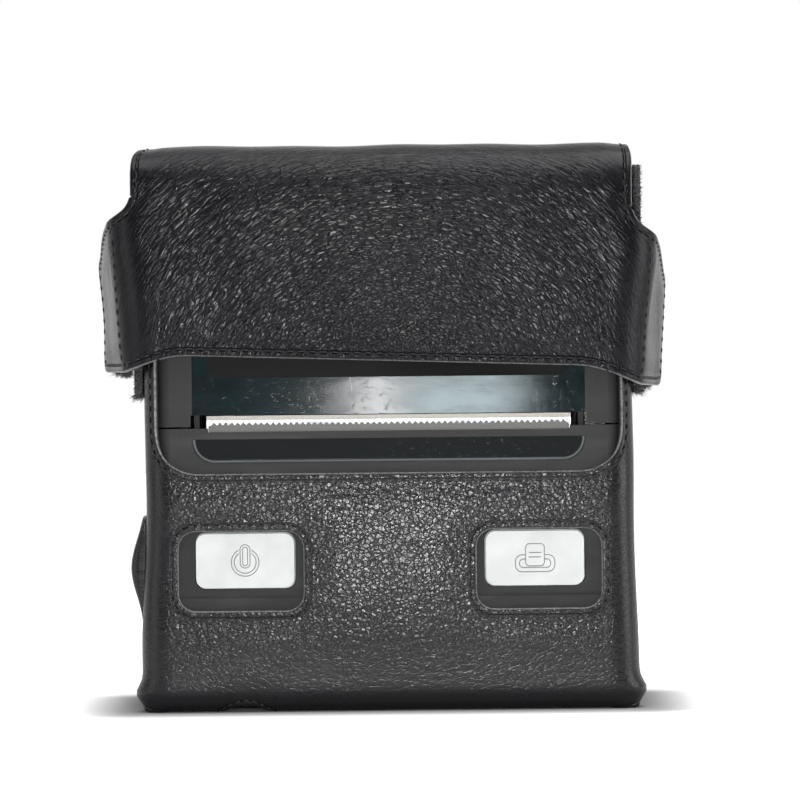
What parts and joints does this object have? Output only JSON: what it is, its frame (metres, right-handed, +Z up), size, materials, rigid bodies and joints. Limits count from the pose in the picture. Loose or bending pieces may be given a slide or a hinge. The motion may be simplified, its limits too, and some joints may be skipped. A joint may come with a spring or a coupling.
{
  "type": "portable thermal printer",
  "caption": "Portable thermal receipt printer in a fitted black leather carrying case, with a flap over its lid, two push buttons and a toothed paper exit.",
  "frame": {"origin": "middle of the flat face the case stands on", "axes": "+Z up, +X to the right, the front faces -Y"},
  "size_m": [0.128, 0.0583, 0.127],
  "materials": {
    "case_leather": "satin",
    "flap_leather": "satin",
    "hook_tape": "matte",
    "loop_tape": "matte",
    "shell_plastic": "matte",
    "film_panel": "gloss",
    "steel": "brushed",
    "button_silver": "satin",
    "battery_wrap": "gloss",
    "contact_brass": "satin",
    "ceramic": "matte",
    "sink_aluminium": "satin",
    "platen_rubber": "matte",
    "gear_plastic": "satin",
    "pinion_brass": "satin",
    "paper": "matte",
    "card": "matte",
    "board_green": "satin",
    "chip_black": "matte",
    "flex_amber": "satin",
    "socket_plastic": "matte",
    "connector_cream": "matte"
  },
  "bodies": {
    "case": {"case_wrap": "case_leather", "case_back": "case_leather", "case_base": "case_leather", "port_rim": "case_leather", "belt_loop": "case_leather", "loop_patch_left": "loop_tape", "loop_patch_right": "loop_tape", "front_shell": "shell_plastic", "rear_shell": "shell_plastic", "lower_panel": "film_panel", "tear_bar": "steel", "hinge_pin": "steel", "battery_door": "shell_plastic", "battery_pack": "battery_wrap", "battery_contacts": "contact_brass", "mech_frame": "steel", "print_head": "ceramic", "heat_sink": "sink_aluminium", "head_springs": "steel", "gear_stud": "steel", "stepper_motor": "steel", "roll_cradle": "shell_plastic", "paper_sensor": "chip_black", "head_ribbon": "flex_amber", "ribbon_connector": "connector_cream", "main_board": "board_green", "main_chip": "chip_black", "driver_chip": "chip_black", "radio_module": "steel", "data_socket": "steel", "charge_socket": "socket_plastic", "power_switch": "socket_plastic", "feed_switch": "socket_plastic", "shell_screws": "steel", "board_screws": "steel", "mech_screws": "steel"},
    "flap_top": {"flap_top": "flap_leather"},
    "flap_front": {"flap_front": "flap_leather"},
    "wing_left": {"wing_left": "flap_leather", "hook_patch_left": "hook_tape"},
    "wing_right": {"wing_right": "flap_leather", "hook_patch_right": "hook_tape"},
    "lid": {"lid_shell": "shell_plastic", "upper_panel": "film_panel", "platen_bushes": "gear_plastic"},
    "platen": {"platen_shaft": "steel", "platen_rubber": "platen_rubber", "platen_gear": "gear_plastic"},
    "compound_gear": {"compound_gear": "gear_plastic"},
    "motor_rotor": {"motor_shaft": "steel", "motor_pinion": "pinion_brass"},
    "paper_roll": {"paper_roll": "paper", "paper_core": "card"},
    "power_button": {"power_button": "button_silver"},
    "feed_button": {"feed_button": "button_silver"}
  },
  "joints": [
    {"name": "flap_hinge", "type": "hinge", "parent": "case", "child": "flap_top", "pos_m": [0, 0.0237, 0.1261], "axis": [-1, 0, 0], "range_deg": [0, 190]},
    {"name": "brow_fold", "type": "hinge", "parent": "flap_top", "child": "flap_front", "pos_m": [0, -0.02313, 0.12343], "axis": [-1, 0, 0], "range_deg": [0, 75]},
    {"name": "wing_left_fold", "type": "hinge", "parent": "flap_front", "child": "wing_left", "pos_m": [-0.05832, -0.02372, 0.09], "axis": [0, 0, 1], "range_deg": [0, 80]},
    {"name": "wing_right_fold", "type": "hinge", "parent": "flap_front", "child": "wing_right", "pos_m": [0.05832, -0.02372, 0.09], "axis": [0, 0, -1], "range_deg": [0, 80]},
    {"name": "lid_hinge", "type": "hinge", "parent": "case", "child": "lid", "pos_m": [0, 0.0151, 0.1171], "axis": [-1, 0, 0], "range_deg": [0, 80]},
    {"name": "platen_spin", "type": "hinge", "parent": "lid", "child": "platen", "pos_m": [0, -0.0147, 0.0716], "axis": [1, 0, 0], "continuous": true},
    {"name": "compound_spin", "type": "hinge", "parent": "case", "child": "compound_gear", "pos_m": [0, -0.00717, 0.06667], "axis": [1, 0, 0], "continuous": true},
    {"name": "motor_spin", "type": "hinge", "parent": "case", "child": "motor_rotor", "pos_m": [0, 0.00161, 0.06005], "axis": [1, 0, 0], "continuous": true},
    {"name": "roll_spin", "type": "hinge", "parent": "case", "child": "paper_roll", "pos_m": [0, 0, 0.0919], "axis": [1, 0, 0], "continuous": true},
    {"name": "power_press", "type": "slide", "parent": "case", "child": "power_button", "axis": [0, 1, 0], "range_m": [0, 0.0006], "stiffness_N_per_m": 1000},
    {"name": "feed_press", "type": "slide", "parent": "case", "child": "feed_button", "axis": [0, 1, 0], "range_m": [0, 0.0006], "stiffness_N_per_m": 1000}
  ],
  "couplings": [
    {"joint": "brow_fold", "follows": "flap_hinge", "ratio": 0.39},
    {"joint": "lid_hinge", "follows": "flap_hinge", "ratio": 0.42},
    {"joint": "platen_spin", "follows": "roll_spin", "ratio": 3.8542},
    {"joint": "compound_spin", "follows": "roll_spin", "ratio": -4.8177},
    {"joint": "motor_spin", "follows": "roll_spin", "ratio": 12.847}
  ]
}
